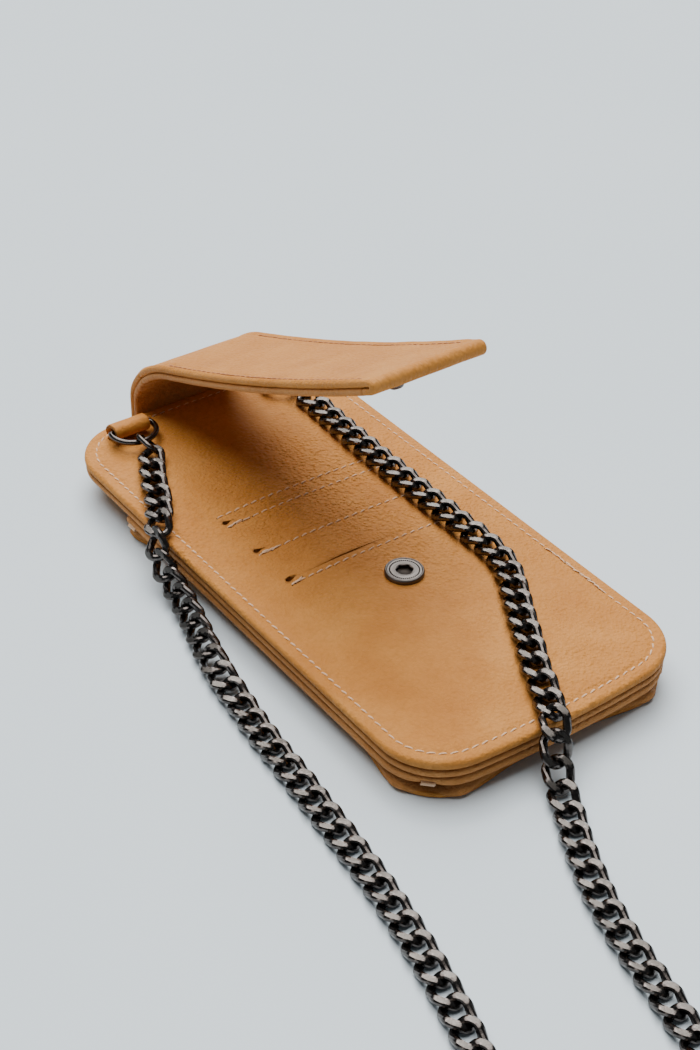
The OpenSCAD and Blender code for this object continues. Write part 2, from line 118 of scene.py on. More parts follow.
# The chain's two runs as in the CAD: x, y and z in millimetres, and its roll in degrees
# where it isn't flat.
LEFT_ROUTE = (
    (-32.2, 66.9, 17.5), (-37.8, 56.4, 17.1), (-41, 48.5, 16.9, -5), (-44.9, 40.9, 16.9, -12),
    (-49.9, 32.8, 16.6, -28), (-52.6, 29.6, 12.8, -55), (-53.4, 25.3, 9.4, -62),
    (-54, 19, 7, -60), (-55.2, 11, 5.6, -52), (-57.3, 1.3, 4.8, -45), (-59.8, -8.2, 4.3, -38),
    (-61.7, -16.8, 3.7, -28), (-63.2, -25.8, 2.9, -12), (-64.6, -37.5, 2.2), (-66.3, -49.8, 2),
    (-68.4, -72, 2), (-71, -96, 2), (-73.4, -116, 2), (-77.4, -138, 2), (-82.6, -160, 2),
    (-90, -182, 2), (-101, -203, 2.2), (-103.5, -207.4, 3))
RIGHT_ROUTE = (
    (30.3, 66.9, 17.6), (30, 56, 17.4), (29, 40, 17.8), (28.4, 22, 17.8), (28, 4, 17.8),
    (27.8, -12, 17.8), (27.9, -25, 17.7), (27.5, -35, 17.6), (25.4, -44, 17.7),
    (19.8, -54.5, 17.9), (13.6, -65, 18.1), (8.2, -75, 18), (3.1, -83.8, 17.7),
    (-0.8, -92.7, 16.9), (-2.9, -97, 16.4), (-5.2, -101.4, 16.3), (-7.1, -104.9, 15.6),
    (-8, -106.4, 13.6), (-8.7, -107.4, 11), (-9.5, -109, 8), (-10.8, -111.7, 5),
    (-12.8, -115.4, 3.3), (-14.6, -119.2, 2.5), (-17.4, -125, 2), (-22.4, -134.2, 2),
    (-29.4, -150.4, 2), (-34, -166, 2), (-38, -184, 2), (-41, -198, 2), (-40.2, -211, 2))
# From each run's end to the coil. The left one passes over the coil's outer turn.
LEFT_LEAD = (
    (-109, -216, 5.7), (-113.5, -225, 6.1), (-116.2, -235, 6.1), (-117.6, -244, 5.9))
RIGHT_LEAD = (
    (-33, -222, 2), (-26.5, -234, 2), (-23, -248, 2))
COIL_AT = (-78, -262)
COIL_R0 = 41
COIL_R1 = 56
COIL_A0 = 166
COIL_A1 = 720


# ---- camera, light and floor ----

def add_object(name, data):
    """A new object in the scene."""
    thing = bpy.data.objects.new(name, data)
    bpy.context.scene.collection.objects.link(thing)
    return thing


def make_camera():
    """The photograph's camera, with places in metres and its lens in millimetres."""
    camera = add_object("camera", bpy.data.cameras.new("camera"))
    at = Vector((-0.2793, -0.3837, 0.3615))
    aim = Vector((0.0022, 0.0043, 0.014))
    roll = radians(0.86)
    turn = (aim - at).to_track_quat("-Z", "Y").to_matrix().to_4x4()
    camera.matrix_world = Matrix.Translation(at) @ turn @ Matrix.Rotation(roll, 4, "Z")
    camera.data.sensor_width = 36
    camera.data.lens = 65.1
    camera.data.clip_start = 0.01
    bpy.context.scene.camera = camera


def sun_light(name, direction, angle, energy):
    """Soft light from one side; a wide angle gives broad soft shadows."""
    data = bpy.data.lights.new(name, "SUN")
    data.energy = energy
    data.angle = radians(angle)
    data.color = (1, 0.985, 0.96)
    turn = Vector(direction).to_track_quat("-Z", "Y")
    add_object(name, data).rotation_euler = turn.to_euler()


def make_studio():
    """A pale room: even dim light, a soft ceiling and a window."""
    world = bpy.data.worlds.new("studio")
    bpy.context.scene.world = world
    world.use_nodes = True
    background = world.node_tree.nodes["Background"]
    background.inputs["Color"].default_value = (0.84, 0.93, 1.0, 1)
    background.inputs["Strength"].default_value = 0.12
    sun_light("ceiling", (-0.06, -0.3, -1), 62, 4.3)
    sun_light("window", (-0.62, -0.95, -1), 34, 1.75)


# ---- materials ----

class Look:
    """A new material, and short calls for the nodes that shade it.

    An input is a value, or the output of another node."""

    def __init__(self, name):
        self.material = bpy.data.materials.new(name)
        self.material.use_nodes = True
        self.tree = self.material.node_tree

    def put(self, socket, value):
        if isinstance(value, bpy.types.NodeSocket):
            self.tree.links.new(value, socket)
        else:
            socket.default_value = value

    def add(self, kind, output, inputs=None, **settings):
        """One output of a new shader node."""
        node = self.tree.nodes.new(kind)
        for key, value in settings.items():
            setattr(node, key, value)
        for key, value in (inputs or {}).items():
            self.put(node.inputs[key], value)
        return node.outputs[output]

    def maths(self, operation, a, b, clamp=False):
        return self.add("ShaderNodeMath", 0, {0: a, 1: b}, operation=operation, use_clamp=clamp)

    def times(self, a, b):
        return self.maths("MULTIPLY", a, b)

    def plus(self, a, b, clamp=False):
        return self.maths("ADD", a, b, clamp)

    def level(self, factor, low, high):
        """A factor stretched so that low gives 0 and high gives 1."""
        return self.add("ShaderNodeMapRange", "Result",
                        {"Value": factor, "From Min": low, "From Max": high})

    def mix(self, factor, tone, colour):
        """A tone turned towards a colour."""
        return self.add("ShaderNodeMix", 2, {0: factor, 6: tone, 7: (*colour, 1)},
                        data_type="RGBA")

    def ramp(self, factor, stops):
        """A colour ramp with (position, colour) stops."""
        output = self.add("ShaderNodeValToRGB", "Color", {"Fac": factor})
        elements = output.node.color_ramp.elements
        while len(elements) < len(stops):
            elements.new(0.5)
        for element, (position, colour) in zip(elements, stops):
            element.position = position
            element.color = (*colour, 1)
        return output

    def grain(self, scale=(1, 1, 1)):
        """The piece's own millimetres, so that the grain keeps its size and stays put."""
        grain = self.add("ShaderNodeAttribute", "Vector", attribute_name="grain")
        return self.add("ShaderNodeMapping", "Vector", {"Vector": grain, "Scale": scale})

    def noise(self, at, scale, detail, roughness=0.5, distortion=0, kind="FBM"):
        return self.add("ShaderNodeTexNoise", "Fac",
                        {"Vector": at, "Scale": scale, "Detail": detail,
                         "Roughness": roughness, "Distortion": distortion}, noise_type=kind)

    def cells(self, at, scale, randomness):
        """How far a point is from the middle of its rounded cell."""
        return self.add("ShaderNodeTexVoronoi", "Distance",
                        {"Vector": at, "Scale": scale, "Randomness": randomness},
                        feature="SMOOTH_F1")

    def wave(self, at, scale, distortion, direction, detail=2):
        return self.add("ShaderNodeTexWave", "Fac",
                        {"Vector": at, "Scale": scale, "Distortion": distortion,
                         "Detail": detail}, bands_direction=direction)

    def done(self, tone, rough, height=None, depth=MM, specular=0.5, metallic=0):
        """Sets the shader's own sockets. Height is a bump, and depth its size in metres."""
        sockets = {"Base Color": tone, "Roughness": rough, "Specular IOR Level": specular,
                   "Metallic": metallic}
        if height is not None:
            sockets["Normal"] = self.add("ShaderNodeBump", "Normal",
                                         {"Height": height, "Distance": depth})
        for key, value in sockets.items():
            self.put(self.tree.nodes["Principled BSDF"].inputs[key], value)
        return self.material


def leather(name, light, mid, dark, pebble=0.4, crease=0.24, rich=None):
    """Pebbled leather. Its grain stands out most near the point rich.

    The mesh's shade, from 0 to 1, turns the colour darker and the surface rougher: painted
    shade in seams, folds, hollows, slits and the gaps between layers, and the darker colour
    of cut edges."""
    look = Look(name)
    at = look.grain()
    fleck = look.noise(at, 0.9, 3)
    cell = look.cells(at, 0.95, 0.9)
    line = look.noise(look.grain((0.3, 0.16, 0.3)), 1, 5, 0.62, 0.8, "RIDGED_MULTIFRACTAL")
    shade = look.add("ShaderNodeAttribute", "Fac", attribute_name="shade")
    tone = look.ramp(look.noise(at, 0.045, 4, 0.6), ((0.3, dark), (0.52, mid), (0.72, light)))
    tone = look.mix(look.times(look.level(cell, 0.35, 0.75), 0.22), tone,
                    [c * 0.72 for c in dark])
    tone = look.mix(look.times(fleck, 0.1), tone, light)
    # The shade attribute turns the tone towards deep brown: painted shade in seams, folds and
    # hollows, and the cut edges' darker colour.
    tone = look.mix(look.times(shade, 0.75), tone,
                    (0.27 * dark[0], 0.31 * dark[1], 0.62 * dark[2]))
    rough = look.plus(look.times(cell, 0.22), 0.46)
    rough = look.plus(rough, look.times(shade, 0.25), clamp=True)
    strength = look.level(look.noise(at, 0.03, 2), 0.36, 0.62)
    strength = look.plus(look.times(strength, 0.75), 0.35)
    if rich:
        gap = look.add("ShaderNodeVectorMath", "Value", {0: at, 1: rich}, operation="DISTANCE")
        boost = look.maths("SUBTRACT", 1, look.level(gap, 20, 68))
        strength = look.plus(strength, look.times(boost, 1.5))
    height = look.times(look.times(cell, -pebble), strength)
    height = look.plus(height, look.times(look.cells(at, 2.1, 1), -pebble * 0.35))
    height = look.plus(height, look.times(look.level(line, 0.9, 1.7), -crease * 0.55))
    height = look.plus(height, look.times(fleck, 0.03))
    return look.done(tone, rough, height, specular=0.13)


def lining():
    """A plain weave: two sets of ribs at right angles."""
    look = Look("lining")
    at = look.add("ShaderNodeTexCoord", "Object")
    weave = look.times(*[look.wave(at, 420, 0.6, axis) for axis in ("X", "Y")])
    tone = look.ramp(weave, ((0.0, (0.07, 0.04, 0.02)), (1.0, (0.22, 0.13, 0.07))))
    return look.done(tone, 0.9, weave, 0.1 * MM)


def thread(name, light, dark):
    """Waxed thread, its twist running round each stitch."""
    look = Look(name)
    at = look.grain()
    twist = look.wave(at, 1.1, 0.8, "DIAGONAL", 1)
    tone = look.ramp(twist, ((0.1, dark), (0.6, light)))
    tone = look.mix(look.times(look.noise(at, 0.3, 2), 0.35), tone, dark)
    return look.done(tone, 0.75, twist, 0.05 * MM, specular=0.15)


def metal(name, light, dark, rough, brushed=(0.4, 0.4, 0.4), scratch=0.02):
    """Plated metal with a fine directional finish."""
    look = Look(name)
    streak = look.noise(look.grain(brushed), 3, 4)
    cloud = look.noise(look.grain(), 0.35, 3)
    tone = look.ramp(streak, ((0.3, dark), (0.72, light)))
    spread = look.times(look.level(cloud, 0.3, 0.7), 0.14)
    return look.done(tone, look.plus(spread, rough), streak, scratch * MM, metallic=1)


def paper_floor():
    """Smooth pale paper, a little uneven in tone."""
    look = Look("floor")
    cloud = look.noise(look.add("ShaderNodeTexCoord", "Object"), 4, 3)
    tone = look.ramp(cloud, ((0.3, (0.68, 0.772, 0.838)), (0.7, (0.71, 0.802, 0.868))))
    return look.done(tone, 0.8)


# ---- meshes ----

def make_piece(name, verts, faces, materials, face_material=None, grain=None, shade=None,
               sharp=None):
    """A smooth-shaded object from points in millimetres."""
    verts = np.asarray(verts, float)
    mesh = bpy.data.meshes.new(name)
    mesh.from_pydata((verts * MM).tolist(), [], [list(map(int, f)) for f in faces])
    for material in materials:
        mesh.materials.append(material)
    if face_material is not None:
        mesh.polygons.foreach_set("material_index", np.asarray(face_material, np.int32))
    mesh.polygons.foreach_set("use_smooth", np.ones(len(mesh.polygons), bool))
    grain = verts if grain is None else np.asarray(grain, float)
    shade = np.zeros(len(verts)) if shade is None else np.clip(shade, 0, 1)
    # The shade attribute carries painted shade, and the cut edges' darker colour, to the leather.
    for key, kind, field, values in (("grain", "FLOAT_VECTOR", "vector", grain),
                                     ("shade", "FLOAT", "value", shade)):
        data = mesh.attributes.new(key, kind, "POINT").data
        data.foreach_set(field, values.astype(np.float32).ravel())
    mesh.update()
    if sharp is not None:
        mesh.set_sharp_from_angle(angle=radians(sharp))
    return add_object(name, mesh)


def settle(piece, body, slot, *nodes):
    """Lets a piece ride on a body and puts it in the place of CAD nodes."""
    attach(piece, body)
    if nodes:
        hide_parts(*nodes)


def bridge(rows, closed=True, flip=False):
    """Quads between rows of equal length, given as lists of vertex numbers."""
    faces = []
    for a, b in zip(rows, rows[1:]):
        n = len(a)
        for i in range(n if closed else n - 1):
            j = (i + 1) % n
            quad = (a[i], a[j], b[j], b[i])
            faces.append(quad[::-1] if flip else quad)
    return faces


def number_rows(count, size, first=0):
    """Vertex numbers, counted from first, for rows of size points each."""
    return [list(range(first + k * size, first + (k + 1) * size)) for k in range(count)]


def along_of(points):
    """Distances along a line of points, from 0 at the first."""
    return np.concatenate([[0], np.cumsum(np.linalg.norm(np.diff(points, axis=0), axis=1))])


def unit(v):
    """Vectors brought to length one."""
    v = np.asarray(v, float)
    return v / np.maximum(np.linalg.norm(v, axis=-1, keepdims=True), 1e-9)


def tangents(points):
    """Directions along a closed line of points."""
    return unit(np.roll(points, -1, axis=0) - np.roll(points, 1, axis=0))


def bell(distance, width):
    """One at distance 0, falling away smoothly over a width."""
    return np.exp(-((distance / width) ** 2))


def turns(count):
    """Angles all the way round, in radians."""
    return np.linspace(0, 2 * pi, count, endpoint=False)


def columns(*parts):
    """Points from their coordinates, each a list."""
    return np.column_stack(parts)


def smooth_step(t):
    """From 0 to 1 as t does, with soft ends."""
    t = np.clip(t, 0, 1)
    return t * t * (3 - 2 * t)


def waves(x, y, scale, seed):
    """Smooth noise over the plane, about -1 to 1."""
    points = columns(np.ravel(x) / scale, np.ravel(y) / scale)
    values = [noise.noise(Vector((px + seed * 7.3, py - seed * 3.1, seed))) for px, py in points]
    return np.array(values).reshape(np.shape(x))


# ---- the body's outline and face ----

def arc(x, y, radius, start, end, count=18):
    """Points on an arc about (x, y), from one angle to just before another."""
    turn = np.linspace(start, end, count, endpoint=False)
    return columns(x + radius * np.cos(turn), y + radius * np.sin(turn))


def outline(inset):
    """Points round the body's outline, inset millimetres in from its edge."""
    r = CORNER_R - inset
    lean = pi / 2 - BOW_ANGLE
    side = np.linspace(CORNER_Y, -CORNER_Y, 120, endpoint=False)
    half = np.vstack([arc(CORNER_X, CORNER_Y, r, 0, lean),
                      arc(0, HALF_L - BOW_R, BOW_R - inset, lean, pi - lean, 40),
                      arc(-CORNER_X, CORNER_Y, r, pi - lean, pi),
                      columns(np.full(len(side), inset - HALF_W), side)])
    return np.vstack([half, -half]) + (0, BODY_Y)


def inset_of(x, y):
    """How far in from the body's edge a point is."""
    x, y = np.abs(x), np.abs(y - BODY_Y)
    depth = np.minimum(HALF_W - x, BOW_R - np.hypot(x, y - HALF_L + BOW_R))
    corner = CORNER_R - np.hypot(x - CORNER_X, y - CORNER_Y)
    return np.where((x > CORNER_X) & (y > CORNER_Y), np.minimum(depth, corner), depth)


def dome_z(x, y):
    """The plain domed face, without its details."""
    across = 1 - (x / SEAM_X) ** 2
    end = np.clip(np.abs(y - BODY_Y) - (HALF_L - STITCH_IN - DOME_END), 0, None)
    along = 1 - (end / DOME_END) ** 2
    inner = np.maximum(across, 0) * np.maximum(along, 0)
    return FACE_H + DOME * (inner + np.minimum(across, 0) + np.minimum(along, 0))


def face_z(x, y):
    """The leather face: seam channel, slot lips, the snap's dimple and soft wrinkles."""
    x, y = np.asarray(x, float), np.asarray(y, float)
    inset = inset_of(x, y)
    z = dome_z(x, y)
    z = z - 0.32 * bell(inset - STITCH_IN, 0.8) + 0.16 * bell(inset - 2.0, 1.1)
    z = z + 0.14 * bell(inset - 5.8, 1.1)
    on_slot = smooth_step((SLOT_HALF + 1.5 - np.abs(x)) / 3)
    for i, slot in enumerate(SLOT_Y):
        z = z - 0.16 * on_slot * bell(y - slot + ROW_BELOW, 0.55)
        open_by = (0.0, 0.04, 0.2)[i] * bell(x - SLOT_PULL, 16)
        z = z + open_by * on_slot * bell(y - slot - 1.1, 1.3)
        z = z - 0.03 * on_slot * bell(y - slot + 0.6, 0.7)
    z = z - 0.16 * on_slot * bell(y - SLOT_Y[0] - ROW_ABOVE, 0.55)
    away = np.hypot(x, y - SOCKET_Y)
    ripple = np.sin(7 * np.arctan2(y - SOCKET_Y, x) + 1.3)
    z = z - 0.3 * bell(away - 5, 3.5) + 0.05 * ripple * bell(away - 9.5, 3)
    calm = smooth_step((inset - 5) / 6)
    return z + calm * (0.16 * waves(x, y, 17, 1) + 0.085 * waves(x, y, 5.5, 2))


def fill(loops, spacing, margin, inside):
    """Triangles over the flat area bounded by loops, with a staggered grid between them.

    inside(x, y) says how far a point is from the nearest loop. Returns the points, the
    triangles and, for each loop, its points' numbers."""
    points, edges, spans = [], [], []
    for loop in loops:
        span = range(len(points), len(points) + len(loop))
        points += loop.tolist()
        edges += zip(span, [*span[1:], span[0]])
        spans.append(span)
    low, high = loops[0].min(axis=0), loops[0].max(axis=0)
    for j, y in enumerate(np.arange(low[1], high[1], spacing * 0.87)):
        x = np.arange(low[0] + (j % 2) * spacing / 2, high[0], spacing)
        points += [(px, y) for px in x[inside(x, np.full(len(x), y)) > margin]]
    out, _, tris, source, _, _ = delaunay_2d_cdt([Vector(p) for p in points], edges, [], 0, 1e-6)
    place = {old: new for new, olds in enumerate(source) for old in olds}
    xy, tris = np.array(out), np.array(tris)
    tris = tris[inside(*xy[tris].mean(axis=1).T) > 0]
    return xy, tris, [[place[i] for i in span] for span in spans]


def slit_half(x, i):
    """Half the width of card slot i: punched round at its ends, drawn apart between."""
    x = np.asarray(x, float)
    middle = (0.012, 0.02, 0.03)[i] + (0.0, 0.02, 0.22)[i] * bell(x - SLOT_PULL, 9)
    end = np.sqrt(np.clip(0.9 - (np.abs(x) - SLOT_HALF) ** 2, 0, None))
    return np.maximum(middle * (np.abs(x) < SLOT_HALF + 0.9), end)


def slit_loop(i):
    """The points round card slot i."""
    turn = np.linspace(0, pi, 15)
    x = np.concatenate([SLOT_HALF + np.cos(turn[:8]), np.linspace(27.5, -27.5, 45),
                        -SLOT_HALF + np.cos(turn[7:])])
    half = slit_half(x, i)
    half[[0, -1]] = 0
    upper = columns(x, SLOT_Y[i] + half)
    lower = columns(x, SLOT_Y[i] - half)[::-1][1:-1]
    return np.vstack([upper, lower])


def pouch_in(x, y):
    """How far the pouch's lower wall is tucked in, away from its corners and its mouth."""
    mouth = smooth_step((MOUTH_Y - 3 - y) / 12)
    return 3.2 * smooth_step((corner_gap(x, y) - 10) / 22) * mouth


def corner_gap(x, y):
    """How far a point is from the outermost point of the nearer round corner."""
    reach = CORNER_R * sqrt(0.5)
    return np.hypot(np.abs(x) - CORNER_X - reach, y - BODY_Y + CORNER_Y + reach)


def outward(ring):
    """Directions out of a closed line of points."""
    along = tangents(ring)
    return columns(along[:, 1], -along[:, 0])


def pouch_outline(inset):
    """The outline's part below the pocket's mouth, and its directions outwards."""
    ring = outline(inset)
    ring = ring[ring[:, 1] < MOUTH_Y]
    start = np.argmax(np.linalg.norm(ring - np.roll(ring, 1, axis=0), axis=1))
    ring = np.roll(ring, -start, axis=0)
    out = outward(ring)
    out[0], out[-1] = out[1], out[-2]
    return ring, out


def rolled_rows(count, deep):
    """(inset, height share) rows round a turned leather edge, between its top and bottom."""
    turn = np.linspace(0, pi, count)[1:-1]
    return [(deep * (1 - sin(t) ** 0.8), (1 + cos(t)) / 2) for t in turn]


def layer(xy, tris, loop, top, low, edge):
    """A leather layer's points and faces, closed round its loop by the edge's rows."""
    n = len(xy)
    verts = [columns(xy, top), columns(xy, low)]
    faces = [tuple(t) for t in tris] + [tuple(t[::-1] + n) for t in tris]
    rows = [loop]
    for k, points in enumerate(edge):
        verts.append(points)
        rows.append([2 * n + k * len(loop) + i for i in range(len(loop))])
    rows.append([i + n for i in loop])
    return np.vstack(verts), faces + bridge(rows, flip=True)


def front_panel(material):
    """The face leather, with its turned edge, the card slots and the snap's hole."""
    deep = 1.5
    edge = outline(deep)
    slits = [slit_loop(i) for i in range(len(SLOT_Y))]

    def inside(x, y):
        d = inset_of(x, y) - deep
        for i, slot in enumerate(SLOT_Y):
            away = np.abs(y - slot) - slit_half(x, i)
            near = (np.abs(x) < SLOT_HALF + 1) & (np.abs(y - slot) < 3)
            d = np.where(near, np.minimum(d, away), d)
        return d

    xy, tris, loops = fill([edge, *slits], 1.15, 0.35, inside)
    n = len(xy)
    top = face_z(*xy.T)
    inner = smooth_step((inset_of(*xy.T) - 7) / 2)
    low = FRONT_LOW + inner * (np.maximum(top - 2.3, FRONT_LOW) - FRONT_LOW)
    brim = face_z(*edge.T)
    # Painted shade: none on the top face, deep on the underside, and growing towards the bottom of
    # the turned edge.
    rows, shade = [], [np.zeros(n), np.full(n, 0.8)]
    for inset, share in rolled_rows(13, deep):
        rows.append(columns(outline(inset), FRONT_LOW + (brim - FRONT_LOW) * share))
        shade.append(np.full(len(edge), 0.55 * (1 - share) ** 2))
    verts, faces = layer(xy, tris, loops[0], top, low, rows)
    # Painted shade in the slits and their punched ends, deepest where a slit stands open.
    for i, loop in enumerate(loops[1:]):
        shade[0][loop] = np.clip(slit_half(xy[loop, 0], i) * 2.2 - 0.05, 0, 0.75)
        faces += bridge([loop, [i + n for i in loop]])
    return make_piece("face_leather", verts, faces, [material], shade=np.concatenate(shade),
                      sharp=50)


def slab(name, material, inset, low, high, deep, pouch=False, rough=0.0, groove=0.0):
    """A flat leather layer with a turned edge, or only the part below the pocket's mouth."""
    ring = outline(inset + deep)
    if pouch:
        ring, out = pouch_outline(inset + deep)
        across = np.linspace(ring[-1], ring[0], 60)[1:-1]
        ring = np.vstack([ring - out * pouch_in(*ring.T)[:, None], across])

    def inside(x, y):
        d = inset_of(x, y) - inset - deep
        return np.minimum(d - pouch_in(x, y), ring[:, 1].max() - y) if pouch else d

    xy, tris, loops = fill([ring], 3.0, 1.2, inside)
    n = len(xy)
    here = inset_of(*xy.T) - inset
    ripple = rough * waves(*xy.T, 14, 5)
    low_z = low + groove * bell(here - 2.6, 0.7) + np.clip(ripple, 0, None)
    out = outward(ring)
    # Painted shade on the top face, under the layer above, and at the top and bottom of the turned
    # edge, in the seams between layers.
    rows, shade = [], [np.full(n, 0.3), np.zeros(n)]
    for depth, share in rolled_rows(9, deep):
        height = np.full(len(ring), low + (high - low) * share)
        rows.append(columns(ring + out * (deep - depth), height))
        shade.append(np.full(len(ring), 0.5 * abs(2 * share - 1) ** 3))
    verts, faces = layer(xy, tris, loops[0], np.full(n, high), low_z, rows)
    return make_piece(name, verts, faces, [material], shade=np.concatenate(shade))


def gusset(material):
    """The folded side leather of the phone pocket: a welt, a tuck and the lower wall."""
    ring, out = pouch_outline(0)
    away = corner_gap(*ring.T)
    hollow = bell(away, 5.0)
    wing = bell(away - 9.5, 4.5)
    pinch = bell(away, 3.6)
    tuck = pouch_in(*ring.T)
    run = along_of(ring)
    sway = waves(run, 0 * run, 21, 9)
    top = REAR_LOW[2] - 0.1
    # Each row: inset from the edge, height, softness, and how much painted shade it gets.
    section = (
        (8.0, top, 0, 0.6), (1.3, top, 0, 0.5), (0.75, top - 0.35, 0, 0.35),
        (0.35, top - 1.0, 0.1, 0), (0.3, top - 1.8, 0.2, 0), (0.6, top - 2.7, 0.3, 0.1),
        (1.4, 4.75, 0.5, 0.45), (2.8, 4.3, 0.8, 0.9), (3.4, 3.9, 1, 1.0),
        (2.7, 3.5, 1, 0.6), (1.7, 2.7, 1, 0.15), (1.3, 1.9, 1, 0), (1.5, 1.0, 0.8, 0.1),
        (2.4, 0.55, 0.3, 0.3), (9.0, 0.9, 0, 0.6), (9.0, 1.9, 0, 0.8),
        (9.6, 4.2, 0, 0.9), (8.0, top - 0.9, 0, 0.9))
    verts, shade = [], []
    for inset, z, soft, dark in section:
        low = float(smooth_step((4.6 - z) / 0.9))
        mid = soft * exp(-(((z - 3.5) / 1.15) ** 2))
        inward = inset + low * tuck + 6.0 * mid * hollow - 1.3 * low * soft * wing
        inward = inward - 0.25 * soft * sway + 1.1 * pinch * (4 < z < top - 1.5)
        lift = 0.12 * soft * sway * (z > 1.2) + 0.7 * wing * soft * (3.2 < z < 5)
        xy = ring - out * inward[:, None]
        verts.append(columns(xy, z + lift - 0.7 * hollow * soft * (3.2 < z < 5)))
        # Painted shade, deepest in the tucked fold and in the hollow near each corner.
        shade.append(np.clip(dark + 1.3 * mid * hollow, 0, 1))
    rows = number_rows(len(section), len(ring))
    faces = bridge(rows + rows[:1], closed=False)
    faces.append([r[0] for r in rows])
    faces.append([r[-1] for r in rows][::-1])
    verts = np.vstack(verts)
    return make_piece("gusset_leather", verts, faces, [material], grain=verts * (1, 1, 1.6),
                      shade=np.concatenate(shade))


# ---- stitches ----

def make_row(name, places, materials, body, *nodes, radius=0.3):
    """Many stitches, each end with a dark disc of painted shade for its needle hole.
    A place is (point, direction, upwards).
    """
    length, sink, hole_r = 2.7, 0.08, 0.27
    ends, sides = 9, 7
    turn = turns(sides)
    verts, faces, grain, tags = [], [], [], []
    for k, (point, along, up) in enumerate(places):
        along, up = unit(along), unit(up)
        lean = radians(RANDOM.uniform(6, 13))
        side = np.cross(up, along)
        along = along * cos(lean) + side * sin(lean)
        side = np.cross(up, along)
        half = length / 2 * RANDOM.uniform(0.86, 1.05)
        fat = radius * RANDOM.uniform(0.85, 1.12)
        rows = number_rows(ends, sides, len(verts))
        for u in np.linspace(-1, 1, ends):
            rise = fat * 0.8 - (sink + fat) * abs(u) ** 4
            thick = fat * (1 - 0.35 * u * u)
            for a in turn:
                verts.append(point + along * half * u + up * (rise + thick * 0.6 * sin(a))
                             + side * thick * cos(a))
                grain.append((half * u + k * 3.7, a * 0.6, 0))
        stitch = bridge(rows) + [rows[0][::-1], rows[-1]]
        faces += stitch
        tags += [0] * len(stitch)
        # Each needle hole is a dark disc in the hole material: painted shade.
        for end in (-1, 1):
            rim = number_rows(1, sides, len(verts))[0]
            middle, bottom = rim[-1] + 1, rim[-1] + 2
            centre = point + along * (half + 0.05) * end
            verts += [centre + (along * cos(a) + side * sin(a)) * hole_r for a in turn]
            verts += [centre + up * 0.03, centre - up * 0.3]
            grain += [(0, 0, 0)] * (sides + 2)
            for a, b in zip(rim, rim[1:] + rim[:1]):
                faces += [(a, b, middle), (b, a, bottom)]
            tags += [1] * 2 * sides
    piece = make_piece(name, verts, faces, materials, face_material=tags, grain=grain)
    settle(piece, body, "thread", *nodes)


def face_place(x, y, along):
    """A stitch's place on the leather face."""
    step = 0.4
    slope = np.array([face_z(x + step, y) - face_z(x - step, y),
                      face_z(x, y + step) - face_z(x, y - step)]) / (2 * step)
    up = unit((-slope[0], -slope[1], 1))
    return np.array([x, y, float(face_z(x, y))]), np.array([*along, 0.0]), up


def loop_places(inset, place):
    """Places at an even pitch round the outline. place(x, y, along) makes each one."""
    ring = outline(inset)
    ring = np.vstack([ring, ring[:1]])
    run = along_of(ring)
    count = int(run[-1] / STITCH_PITCH)
    marks = np.arange(count) * run[-1] / count
    points = columns(*[np.interp(marks, run, side) for side in ring.T])
    along = unit(np.diff(ring, axis=0))[np.searchsorted(run, marks, side="right") - 1]
    places = [place(x, y, way) for (x, y), way in zip(points, along)]
    return [p for p in places if p is not None]


def doubled_places():
    """The seam's two ends run over each other on the right side."""
    places = []
    for y in np.arange(-65, -40, 2.2):
        point, along, up = face_place(SEAM_X + RANDOM.uniform(-0.3, 0.35), y, (0, 1))
        places.append((point + up * 0.2, along + (RANDOM.uniform(-0.3, 0.3), 0, 0), up))
    return places


def slot_places():
    """The rows under each slot, the row above the first, and the backstitches at their ends."""
    rows = [SLOT_Y[0] + ROW_ABOVE] + [y - ROW_BELOW for y in SLOT_Y]
    places = []
    for k, y in enumerate(rows):
        for x in np.arange(-SLOT_HALF + 0.5, SLOT_HALF + 1, STITCH_PITCH):
            places.append(face_place(x, y, (1, 0)))
        for _ in range(5 if k else 0):
            x = -SLOT_HALF + RANDOM.uniform(0.5, 6.5)
            point, along, up = face_place(x, y + RANDOM.uniform(-0.35, 0.45), (1, 0))
            tilt = RANDOM.uniform(-0.35, 0.35)
            places.append((point + up * 0.16, along + (0, tilt, 0), up))
    return places


# ---- flap ----

def strap_at(s):
    """(y, z, heading in radians) on the flap's middle line, s counted from its first bend."""
    (y, z), heading = FLAP_START, pi / 2
    for radius, angle in FLAP_BENDS:
        length = abs(radius * radians(angle))
        used = min(max(s, 0), length)
        turned = heading + radians(angle) * used / length
        y += radius * (sin(turned) - sin(heading))
        z += radius * (cos(heading) - cos(turned))
        heading = turned
        s -= used
    return y + s * cos(heading), z + s * sin(heading), heading


FLAP_L = sum(abs(r * radians(a)) for r, a in FLAP_BENDS) + FLAP_END


def strap_row(s, off):
    """(y, z, heading, s) beside the flap's middle line, at a distance off from it."""
    y, z, h = strap_at(s)
    return y + off * sin(h), z - off * cos(h), h, s


def strap_point(x, s, off):
    """The same place as a point, x millimetres to one side."""
    return np.array([x, *strap_row(s, off)[:2]])


